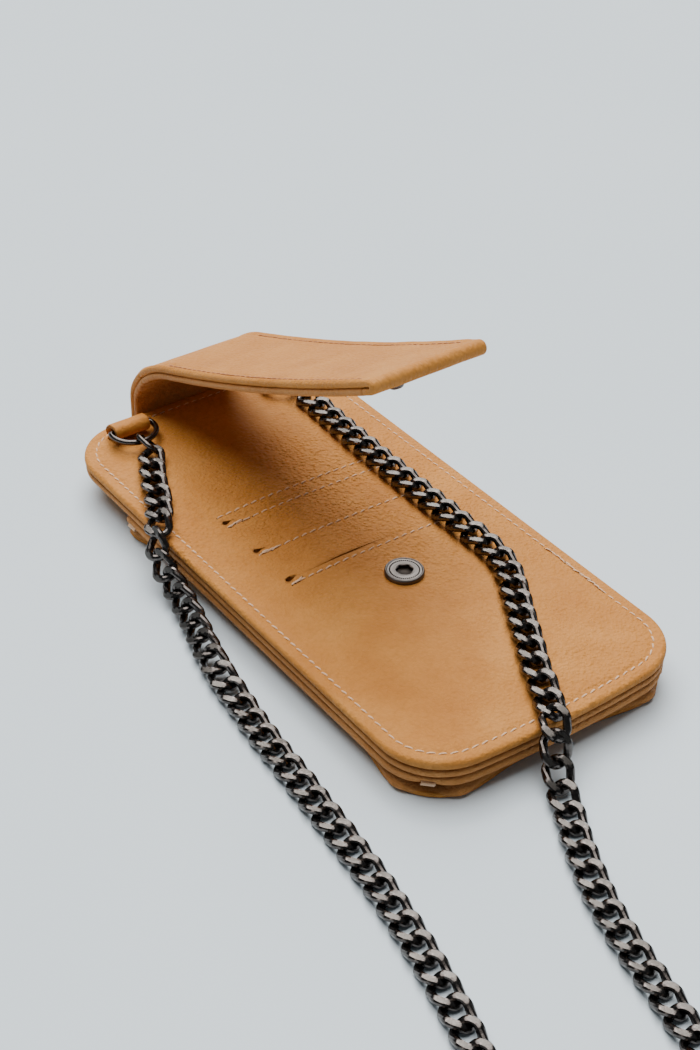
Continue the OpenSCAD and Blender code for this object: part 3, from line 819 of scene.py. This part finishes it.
def ply(name, material, path, width, half_t, shade, relief=None, across=26, round_r=None):
    """A strip of leather along a path of (y, z, heading, s) rows, with rounded long edges.

    relief(x, s, side) lifts its faces: side is 1 on the face to the right of the heading.
    shade(edge) is how dark it is, with edge 0 on its faces and 1 at its sides."""
    r = round_r or half_t * 0.95
    turn = np.linspace(0, pi, 9)[1:-1]
    flat = np.linspace(width / 2 - r, r - width / 2, across)
    section = [(x, half_t, 1) for x in flat]
    section += [(r - width / 2 - r * sin(t), half_t * cos(t), 0) for t in turn]
    section += [(-x, -off, -side) for x, off, side in section]
    verts, grain, dark = [], [], []
    for y, z, h, s in path:
        for x, off, side in section:
            o = off + (relief(x, s, side) * side if relief and side else 0)
            verts.append((x, y + o * sin(h), z - o * cos(h)))
            grain.append((x, s, off * 1.5))
            edge = np.clip((abs(x) - (width / 2 - r)) / r, 0, 1)
            dark.append(shade(edge))
    rows = number_rows(len(path), len(section))
    faces = bridge(rows, flip=True) + [rows[0], rows[-1][::-1]]
    return make_piece(name, verts, faces, [material], grain=grain, shade=dark)


def straight_path(s0, s1, off):
    """Path rows along the flap at a distance off from its middle line."""
    step = 1.3
    count = max(2, int(abs(s1 - s0) / step) + 1)
    return [strap_row(s, off) for s in np.linspace(s0, s1, count)]


def tip_path(s0, s1, off):
    """Along the outer side to the tip, round it, and back a little on the inner side."""
    rows = straight_path(s0, FLAP_L, off)
    y, z, h = strap_at(FLAP_L)
    for t in np.linspace(0, pi, 13)[1:]:
        turn = h + t
        rows.append((y + off * sin(turn), z - off * cos(turn), turn, FLAP_L + t * off))
    back = straight_path(FLAP_L, s1, -off)[1:]
    return rows + [(y, z, h + pi, 2 * FLAP_L - s + off * pi) for y, z, h, s in back]


def rolled_edge(x, s):
    """A turned edge stands proud of the seam channel beside it."""
    seam = abs(x) - (FLAP_W / 2 - FLAP_SEAM)
    fade = smooth_step((s - 6) / 12) * smooth_step((FLAP_L - 1 - s) / 5)
    return fade * (0.26 * bell(seam - 1.5, 0.8) - 0.42 * bell(seam, 0.65))


def outer_relief(x, s, side):
    """The outer ply's face: a seam channel near each long edge and soft waves."""
    return float(rolled_edge(x, s) + 0.14 * noise.noise(Vector((x / 11, s / 9, 3.1))))


def inner_relief(x, s, side):
    """The inner ply creases across where the flap bends."""
    phase = s * 1.55 + 2.2 * noise.noise(Vector((x / 9, s / 7, 8.4))) + x * 0.05
    crease = -0.42 * bell(s - 9, 12) * max(0, sin(phase)) ** 2
    edge = rolled_edge(x, s) * 0.6 * (side < 0)
    return float(crease + edge + 0.1 * noise.noise(Vector((x / 10, s / 8, 1.7))))


def make_flap(face, inner):
    """The flap's two plies, cut in the middle of its bend, where it is rigid."""
    cut = 14.0
    mid = FLAP_T / 4 + 0.03
    half = mid - 0.11
    foot = -9.0
    root = ("wallet", "flap_bend", (0, 0.1, 0.012), (0, 0.0965, 0.0275))
    panel = ("flap_bend", "flap_panel", *[tuple(strap_point(0, s, 0) * MM) for s in (17, 43)])
    plies = (
        ("flap_root_face", straight_path(foot, cut, mid), root,
         ("flap_root_outer", "flap_bend_outer")),
        ("flap_root_back", straight_path(foot + 2.2, cut, -mid), root,
         ("flap_root_inner", "flap_bend_inner")),
        ("flap_face", tip_path(cut, FLAP_L - 3.4, mid), panel, ("flap_panel_outer", "flap_tip")),
        ("flap_back", straight_path(cut, FLAP_L - 3.7, -mid), panel, ("flap_panel_inner",)))
    for name, path, (body, next_body, start, end), nodes in plies:
        outer = name.endswith("face")
        piece = ply(name, face if outer else inner, path, FLAP_W, half,
                    lambda edge: 0.18 * edge**2, outer_relief if outer else inner_relief)
        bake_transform(piece)
        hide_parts(*nodes)


def flap_places(off):
    """Stitches along both long edges of the flap, on the face at a distance off its middle."""
    places = []
    for s in np.arange(34, FLAP_L - 5, STITCH_PITCH):
        for side in (-1, 1):
            x = side * (FLAP_W / 2 - FLAP_SEAM)
            point = strap_point(x, s, off)
            along = strap_point(x, s + 1, off) - point
            up = strap_point(x, s, off + copysign(1, off)) - point
            places.append((point, along, up))
    return places


# ---- hardware ----

def tube(points, radius, sides=14, closed=True, upwards=(0, 0, 1)):
    """Vertices and faces of a round tube along points. Its first side is square to upwards."""
    points = np.asarray(points, float)
    along = tangents(points) if closed else unit(np.gradient(points, axis=0))
    verts = []
    for p, t, out in zip(points, along, np.broadcast_to(upwards, points.shape)):
        side = unit(np.cross(t, out))
        up = np.cross(side, t)
        verts += [p + radius * (side * cos(a) + up * sin(a)) for a in turns(sides)]
    rows = number_rows(len(points), sides)
    if closed:
        return np.array(verts), bridge(rows + rows[:1], flip=True)
    return np.array(verts), bridge(rows, flip=True) + [rows[0], rows[-1][::-1]]


def lathe(name, material, profile, at, axis_turn=0.0, sides=72, hex_under=0.0):
    """A turned piece: (radius, height) rows about +Z, tilted about X and moved to at.

    Rows narrower than hex_under are six-sided."""
    turn = turns(sides)
    verts = []
    for r, z in profile:
        for a in turn:
            flat = cos((a + pi / 6) % (pi / 3) - pi / 6)
            reach = r * 0.93 / flat if r < hex_under else r
            verts.append((reach * cos(a), reach * sin(a), z))
    rows = number_rows(len(profile), sides)
    faces = bridge(rows) + [rows[0][::-1], rows[-1]]
    x, y, z = np.array(verts).T
    grain = columns(np.hypot(x, y) * 3, np.arctan2(y, x) * 0.4, z)
    c, s = cos(axis_turn), sin(axis_turn)
    turned = columns(x, c * y - s * z, s * y + c * z)
    return make_piece(name, turned + at, faces, [material], grain=grain, sharp=40)


def make_ring(side, name, material):
    """The D-ring: a straight bar in the tab's roll, two short legs and a bow."""
    bow = [(-RING_R * cos(t), -RING_LEG - RING_R * sin(t)) for t in np.linspace(0, pi, 40)]
    corner = 0.9
    right = [(RING_R, -corner), (RING_R * 0.97, -0.25), (RING_R - corner, 0)]
    bar = [(x, 0) for x in np.linspace(5, -5, 9)]
    left = [(-x, y) for x, y in right[::-1]]
    points = [(side * TAB_X + x, RING_Y + y, RING_Z) for x, y in bow + right + bar + left]
    verts, faces = tube(points, RING_WIRE)
    ring = make_piece(name + "_ring", verts, faces, [material], grain=verts * (3, 0.4, 3))
    settle(ring, name + "_ring", "chain_metal", name + "_d_ring")


def make_tab(side, name, material):
    """A strip that rises out of the face inside the end seam and rolls round the ring's bar."""
    mid = RING_WIRE + 0.9
    x0 = side * TAB_X
    foot = RING_Y + 6.2
    floor = float(dome_z(x0, foot))
    step = 0.45
    rows = [(foot - 2.2, floor - 0.5), (foot - 2.6, floor + 0.5), (RING_Y + 2.0, RING_Z - 2.1)]
    rows += [(RING_Y + mid * cos(t), RING_Z + mid * sin(t))
             for t in np.linspace(-pi / 2, -3 * pi / 2, 15)]
    rows += [(RING_Y + 2.4, RING_Z + 1.35), (foot - 1.4, RING_Z - 1.0),
             (foot - 0.2, floor + 0.9), (foot, floor - 0.6)]
    points = resample(np.array([(0, y, z) for y, z in rows]), step)
    path = []
    for i, (p, d) in enumerate(zip(points, np.gradient(points, axis=0))):
        path.append((p[1], p[2], atan2(d[2], d[1]), i * step))
    piece = ply(name + "_tab_leather", material, path, TAB_W, 0.66, lambda edge: 0.85 * edge,
                across=9, round_r=0.45)
    seam = CORNER_R - STITCH_IN - 0.75
    for vertex in piece.data.vertices:
        x, y = vertex.co.x / MM + x0, vertex.co.y / MM - BODY_Y - CORNER_Y
        limit = CORNER_X + sqrt(max(seam**2 - max(y, 0) ** 2, 4))
        vertex.co.x = (side * min(side * x, limit)) * MM
    settle(piece, "wallet", "leather_face", name + "_tab")


def resample(points, step):
    """Points at an even spacing along a smooth curve through the given ones."""
    fine = []
    n = len(points)
    for i in range(n - 1):
        a, b, c, d = (points[max(i - 1, 0)], points[i], points[i + 1], points[min(i + 2, n - 1)])
        for t in np.linspace(0, 1, 24, endpoint=False):
            fine.append(0.5 * ((2 * b) + (c - a) * t + (2 * a - 5 * b + 4 * c - d) * t * t
                               + (3 * b - a - 3 * c + d) * t ** 3))
    fine = np.array([*fine, points[-1]])
    run = along_of(fine[:, :3])
    marks = np.linspace(0, run[-1], max(2, int(round(run[-1] / step)) + 1))
    return columns(*[np.interp(marks, run, column) for column in fine.T])


def make_snap(material, dark):
    """The socket on the face, with a ring of beads and a dark disc of painted shade in its
    hole, and the stud under the flap's tip.
    """
    base = SOCKET_LOW[2] - 0.35
    at = (0, SOCKET_Y, base)
    hole_r = 2.6
    socket = lathe("socket_cap", material, [
        (0.02, -0.6), (5.9, -0.6), (6.1, 0.15), (6.12, 0.95), (6.05, 1.3), (5.9, 1.52),
        (5.7, 1.62), (5.5, 1.6), (5.4, 1.5), (5.3, 1.42), (5.0, 1.42), (4.0, 1.5),
        (3.2, 1.56), (2.9, 1.58), (2.7, 1.54), (2.5, 1.4), (2.45, 1.2), (2.45, 0.36),
        (0.02, 0.34)], at, hex_under=hole_r)
    # A dark disc of painted shade in the socket's hole.
    hole_shade_disc = lathe("socket_hole_shade", dark, [(0.02, 0.36), (2.4, 0.36), (2.4, 0.5), (0.02, 0.5)],
                 at, hex_under=hole_r)
    beads = make_beads(44, 4.5, 0.26, np.add(at, (0, 0, 1.46)), material)
    settle(socket, "wallet", "snap_metal", "snap_socket")
    settle(hole_shade_disc, "wallet", "snap_metal")
    settle(beads, "wallet", "snap_metal")
    place = FLAP_L - STUD_BACK
    stud = lathe("stud_turned", material, [
        (0.2, -3.75), (1.3, -3.7), (1.9, -3.4), (2.18, -2.9), (2.18, -2.4), (1.9, -1.95),
        (1.6, -1.7), (1.6, -1.3), (3.3, -1.1), (3.9, -0.95), (4.15, -0.6), (4.2, -0.2),
        (4.1, 0.05), (0.2, 0.1)],
        strap_point(0, place, -FLAP_T / 2), strap_at(place)[2] - pi)
    settle(stud, "flap_panel", "snap_metal", "snap_stud")


def make_beads(count, reach, radius, at, material):
    """A ring of half balls round a point."""
    sides, rings = 8, 4
    verts, faces = [], []
    for a in turns(count):
        rows = number_rows(rings, sides, len(verts))
        for lean in np.arange(rings) * pi / 6:
            for b in turns(sides):
                r = radius * cos(lean)
                verts.append(at + np.array([reach * cos(a) + r * cos(b),
                                            reach * sin(a) + r * sin(b), radius * sin(lean)]))
        faces += bridge(rows) + [rows[0][::-1]]
    return make_piece("socket_beads", verts, faces, [material])


# ---- chain ----

LINK_A = 4.55
LINK_B = 3.42
LINK_WIRE = 1.24
LINK_TWIST = radians(39)


def link_mesh():
    """One curb link, along +X: a twisted oval whose crests are ground flat.

    Returns its points, its faces and which faces are ground."""
    turn = turns(40)
    x = LINK_B * np.cos(turn) + np.copysign(LINK_A - LINK_B, np.cos(turn))
    y = LINK_B * np.sin(turn)
    twist = LINK_TWIST * x / LINK_A
    c, s = np.cos(twist), np.sin(twist)
    verts, faces = tube(columns(x, y * c, y * s), LINK_WIRE, 12, upwards=columns(0 * s, -s, c))
    half = CHAIN_T / 2
    ground = np.abs(verts[:, 2]) > half - 0.02
    verts[:, 2] = np.clip(verts[:, 2], -half, half)
    return verts, faces, [all(ground[i] for i in face) for face in faces]


def chain_frames(route, step):
    """Link centres, and each one's directions along, across and out of the chain."""
    line = resample(np.array(route, float), step)
    at, roll = line[:, :3], np.radians(line[:, 3])
    along = unit(np.gradient(at, axis=0))
    side = unit(np.cross(along, (0, 0, 1)))
    up = np.cross(side, along)
    c, s = np.cos(roll)[:, None], np.sin(roll)[:, None]
    return at, along, side * c + up * s, up * c - side * s


def chain_mesh(name, frames, dark, bright):
    """Links at the given places, each turned a little, with bright ground faces."""
    verts, faces, flat = link_mesh()
    all_verts, all_faces, grain = [], [], []
    for k, (at, along, side, up) in enumerate(zip(*frames)):
        lean = radians(RANDOM.uniform(-4, 4))
        side2 = side * cos(lean) + up * sin(lean)
        up2 = up * cos(lean) - side * sin(lean)
        all_verts.append(at + verts[:, :1] * along + verts[:, 1:2] * side2 + verts[:, 2:] * up2)
        # (along, side, up) is left-handed, so the faces turn the other way round.
        all_faces += [[i + k * len(verts) for i in face[::-1]] for face in faces]
        grain.append(verts + (0, 0, 9.0 * k))
    return make_piece(name, np.vstack(all_verts), all_faces, [dark, bright],
                      face_material=flat * len(all_verts), grain=np.vstack(grain), sharp=28)


def coil_route():
    """The chain's length out of view, in one and a half flat turns."""
    rows = []
    for a in np.arange(COIL_A0, COIL_A1 + 1, 12):
        r = COIL_R0 + (COIL_R1 - COIL_R0) * (a - COIL_A0) / (COIL_A1 - COIL_A0)
        z = 2.0 + 2.6 * smooth_step(1 - (a - COIL_A0) / 22)
        t = radians(a)
        rows.append((COIL_AT[0] + r * cos(t), COIL_AT[1] + r * sin(t), z))
    return rows


def make_chain(dark, bright):
    """The chain as one long run of links, with the first few at each ring kept apart."""
    route = [*LEFT_ROUTE, *LEFT_LEAD, *coil_route(), *RIGHT_LEAD[::-1], *RIGHT_ROUTE[::-1]]
    frames = chain_frames([(*point, 0)[:4] for point in route], LINK_PITCH)
    near = 7
    spans = {"chain_near_left": slice(near), "chain_links": slice(near, -near),
             "chain_near_right": slice(-near, None)}
    pieces = {}
    for name, span in spans.items():
        pieces[name] = chain_mesh(name, [part[span] for part in frames], dark, bright)
    left, main, right = pieces.values()
    for piece, ring in ((left, "left_ring"), (right, "right_ring")):
        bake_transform(piece)
    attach(main, "wallet")
    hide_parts("chain_left", "chain_right", "chain_coil")
    path = resample(frames[0][near - 1:1 - near], 2.0) * MM


def make_end_link(side, name, material):
    """The plain oval link that closes on a D-ring."""
    half, bend, wire = 1.75, 3.1, 0.95
    tilt = radians(45)
    link_y = RING_Y - RING_LEG - RING_R + 2 * wire + 0.35 - half - bend
    points = []
    for t in turns(40):
        x = bend * cos(t)
        y = bend * sin(t) + copysign(half, sin(t))
        points.append((side * TAB_X + x * cos(tilt), link_y + y, RING_Z - x * sin(tilt)))
    verts, faces = tube(points, wire, upwards=(sin(tilt), 0, cos(tilt)))
    link = make_piece(name + "_first_link", verts, faces, [material], grain=verts * (2, 2, 2))
    settle(link, name + "_ring", "chain_metal", name + "_end_link")


# ---- the whole wallet ----

def make_body(panel, face, inner):
    """The sewn layers: front and rear panel, the pocket's folded sides and its back."""
    front = front_panel(panel)
    rear = slab("rear_leather", inner, 0.3, REAR_LOW[2], REAR_HIGH[2] - 0.05, 1.3)
    walls = gusset(inner)
    back = slab("back_leather", face, 1.2, 0.0, BACK_T, 0.85, pouch=True, rough=0.25,
                groove=0.45)
    settle(front, "wallet", "leather_face", "front_panel")
    settle(rear, "wallet", "leather_inner", "rear_panel")
    settle(back, "pocket", "leather_face", "pocket_back")
    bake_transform(walls)
    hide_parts("gusset_upper", "gusset_lower")


def make_stitches(cream, tan, hole):
    """Every seam and row of stitches."""
    def back_place(x, y, along):
        if y > MOUTH_Y - 3:
            return None
        inward = np.array([-along[1], along[0]]) * pouch_in(x, y)
        return np.array([x + inward[0], y + inward[1], 0.42]), (*along, 0.0), (0, 0, -1.0)

    # hole is the needle holes' painted shade.
    pale = [cream, hole]
    rim = loop_places(STITCH_IN, face_place) + doubled_places()
    make_row("rim_thread", rim, pale, "wallet", "perimeter_stitches")
    make_row("slot_thread", slot_places(), pale, "wallet", "slot_stitches")
    top = flap_places(FLAP_T / 2 - 0.42)
    make_row("flap_thread", top, [tan, hole], "flap_panel", "flap_stitches")
    make_row("flap_under_thread", flap_places(0.28 - FLAP_T / 2), pale, "flap_panel")
    back = loop_places(3.8, back_place)
    make_row("pocket_thread", back, pale, "pocket", "pocket_stitches", radius=0.24)


def wrap(at, along, out, length, radius, count):
    """A tight bar of thread wound round, standing out from the leather."""
    points = []
    for t in np.linspace(0, 1, count * 12):
        a = 2 * pi * count * t
        points.append(at + along * length * (t - 0.5)
                      + radius * (out * cos(a) + np.cross(along, out) * sin(a)))
    return points


def make_tacks(cream):
    """The bar tacks at the gusset's ends and corners."""
    parts = []
    z = 5.5
    slope = sqrt(0.5)
    r = (CORNER_R - 1.2) * slope
    for sx in (-1, 1):
        spots = (((sx * (HALF_W - 0.45), MOUTH_Y - 4, z), (0, 1, 0), (sx, 0, 0)),
                 ((sx * (CORNER_X + r), BODY_Y - CORNER_Y - r, z),
                  (sx * slope, slope, 0), (sx * slope, -slope, 0)))
        for at, along, out in spots:
            path = wrap(np.array(at), np.array(along), np.array(out), 3.9, 0.6, 11)
            parts.append(tube(path, 0.2, sides=7, closed=False, upwards=out))
    verts, faces = [], []
    for points, sides in parts:
        faces += [[i + len(verts) for i in face] for face in sides]
        verts += points.tolist()
    grain = np.array(verts) * 2
    piece = make_piece("tack_thread", verts, faces, [cream], grain=grain)
    settle(piece, "wallet", "thread", "bar_tacks")


def make_floor():
    """The paper that the wallet lies on."""
    size = 3000
    corners = [(-size, -size, 0), (size, -size, 0), (size, size, 0), (-size, size, 0)]
    make_piece("floor", corners, [(0, 1, 2, 3)], [paper_floor()])


make_camera()
make_studio()
gunmetal = metal("gunmetal", (0.125, 0.108, 0.1), (0.055, 0.049, 0.046), 0.14)
ground_flat = metal("ground_flat", (0.15, 0.137, 0.125), (0.078, 0.071, 0.066), 0.28,
                    brushed=(0.5, 6, 0.5), scratch=0.03)
make_chain(gunmetal, ground_flat)
camel = ((0.64, 0.28, 0.067), (0.57, 0.234, 0.049), (0.49, 0.187, 0.035))
panel_leather = leather("camel_leather_panel", *camel, rich=(3, 22, 16))
face_leather = leather("camel_leather", *camel)
inner_leather = leather("camel_leather_inner", (0.6, 0.27, 0.085), (0.53, 0.226, 0.064),
                        (0.45, 0.178, 0.046))
cream_thread = thread("cream_thread", (0.98, 0.73, 0.5), (0.74, 0.42, 0.23))
tan_thread = thread("tan_thread", (0.62, 0.31, 0.17), (0.42, 0.17, 0.08))
# Painted shade for the needle holes.
painted_hole_shade = leather("painted_hole_shade", (0.1, 0.045, 0.016), (0.07, 0.03, 0.012),
                      (0.05, 0.02, 0.008), pebble=0.0, crease=0.0)
make_body(panel_leather, face_leather, inner_leather)
make_flap(face_leather, inner_leather)
make_stitches(cream_thread, tan_thread, painted_hole_shade)
make_tacks(cream_thread)
snap_metal = metal("snap_metal", (0.165, 0.152, 0.142), (0.08, 0.073, 0.068), 0.34)
# Painted shade for the socket's hole.
hole_shade_metal = metal("hole_shade_metal", (0.03, 0.024, 0.02), (0.016, 0.013, 0.011), 0.42)
make_snap(snap_metal, hole_shade_metal)
for side, name in SIDES:
    make_tab(side, name, face_leather)
    make_ring(side, name, gunmetal)
for side, name in SIDES:
    make_end_link(side, name, gunmetal)
make_floor()

hidden = {"socket_post": snap_metal, "stud_cap": snap_metal}
hidden.update(dict.fromkeys(("card_pocket_1", "card_pocket_2", "card_pocket_3"), lining()))
for name, material in hidden.items():
    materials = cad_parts[name].data.materials
    materials.clear()
    materials.append(material)
